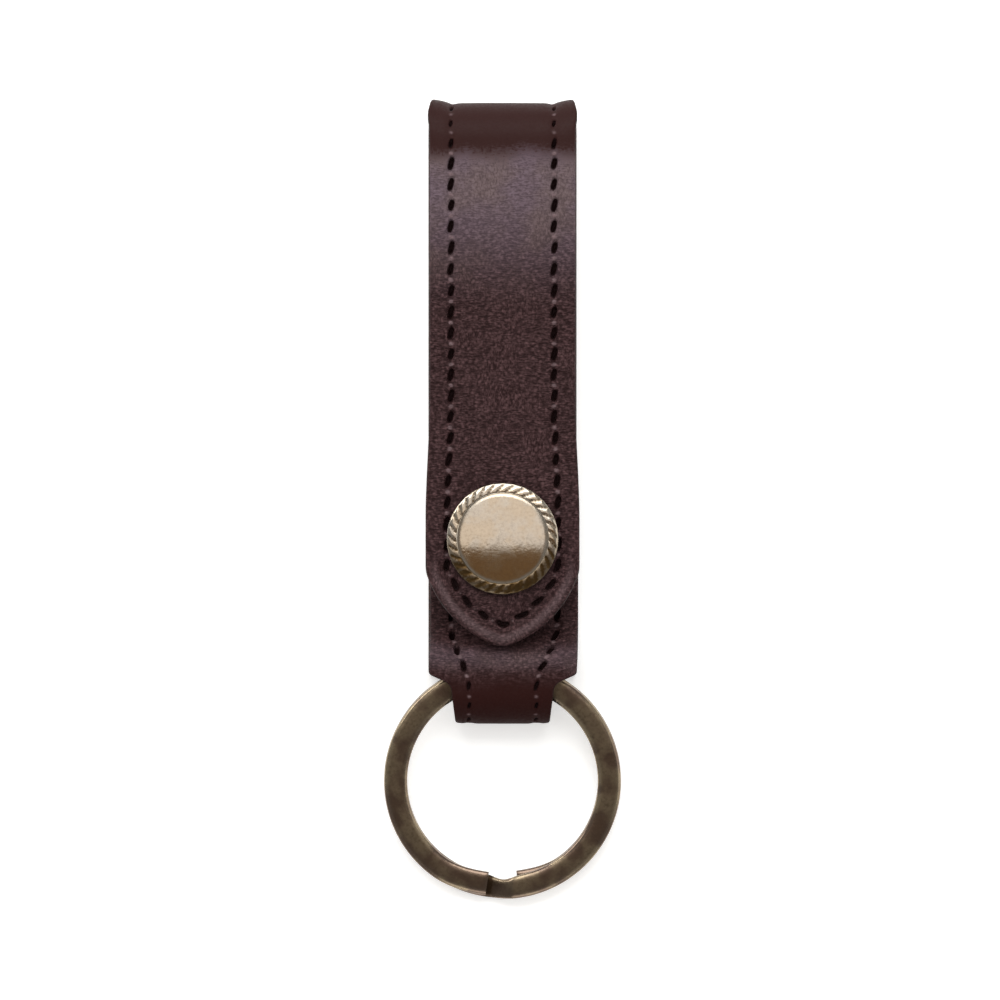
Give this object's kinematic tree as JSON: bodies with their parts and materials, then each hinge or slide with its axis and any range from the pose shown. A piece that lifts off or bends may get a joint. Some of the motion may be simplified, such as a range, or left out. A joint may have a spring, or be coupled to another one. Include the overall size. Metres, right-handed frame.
{
  "type": "belt key holder",
  "caption": "Stitched leather strap folded into a belt loop, closed by a snap flap, with a flat split ring for keys.",
  "frame": {"origin": "middle of the underside, with the key holder lying on its back on a table", "axes": "+X across the strap, +Y along the strap towards the top fold, +Z out of the front flap"},
  "size_m": [0.032, 0.1075, 0.0114],
  "materials": {
    "face_leather": "smooth dark brown grain leather with a soft sheen",
    "lining_leather": "matte dark brown",
    "thread": "matte dark brown sewing thread",
    "antique_brass": "antique brass plating, polished with a dark patina",
    "spring_steel": "bright wire"
  },
  "bodies": {
    "strap": {"back_face": "face_leather", "back_lining": "lining_leather", "back_thread_left": "thread", "back_thread_right": "thread", "neck_back_face": "face_leather", "neck_back_lining": "lining_leather", "neck_front_face": "face_leather", "neck_front_lining": "lining_leather", "return_end_face": "face_leather", "return_end_lining": "lining_leather", "return_thread": "thread", "stud": "antique_brass", "stud_post": "antique_brass"},
    "fold_lower": {"fold_lower_face": "face_leather", "fold_lower_lining": "lining_leather"},
    "fold_middle": {"fold_middle_face": "face_leather", "fold_middle_lining": "lining_leather"},
    "fold_upper": {"fold_upper_face": "face_leather", "fold_upper_lining": "lining_leather"},
    "flap": {"flap_face": "face_leather", "flap_lining": "lining_leather", "flap_thread": "thread", "snap_cap": "antique_brass", "cap_post": "antique_brass", "snap_socket": "antique_brass", "socket_spring": "spring_steel"},
    "ring_loop": {"ring_loop_face": "face_leather", "ring_loop_lining": "lining_leather"},
    "ring": {"split_ring": "antique_brass"}
  },
  "joints": [
    {"name": "flap_open", "type": "hinge", "parent": "strap", "child": "fold_lower", "pos_m": [0, 0.04888, 0], "axis": [-1, 0, 0], "range_deg": [0, 40], "deforming": ["socket_spring"]},
    {"name": "fold_middle_bend", "type": "hinge", "parent": "fold_lower", "child": "fold_middle", "pos_m": [0, 0.05312, 0.00245], "axis": [-1, 0, 0], "range_deg": [0, 40]},
    {"name": "fold_upper_bend", "type": "hinge", "parent": "fold_middle", "child": "fold_upper", "pos_m": [0, 0.05312, 0.00735], "axis": [-1, 0, 0], "range_deg": [0, 40]},
    {"name": "flap_bend", "type": "hinge", "parent": "fold_upper", "child": "flap", "pos_m": [0, 0.04888, 0.0098], "axis": [-1, 0, 0], "range_deg": [0, 40]},
    {"name": "ring_swing", "type": "hinge", "parent": "strap", "child": "ring_loop", "pos_m": [0, -0.02336, 0.0044], "axis": [-1, 0, 0], "range_deg": [-45, 45], "deforming": ["neck_back_face", "neck_back_lining", "neck_front_face", "neck_front_lining"]},
    {"name": "ring_spin", "type": "hinge", "parent": "ring_loop", "child": "ring", "pos_m": [0, -0.03772, 0.00296], "axis": [0, -0.0996, 0.995], "continuous": true}
  ],
  "couplings": [
    {"joint": "fold_middle_bend", "follows": "flap_open", "ratio": 1},
    {"joint": "fold_upper_bend", "follows": "flap_open", "ratio": 1},
    {"joint": "flap_bend", "follows": "flap_open", "ratio": 1}
  ]
}
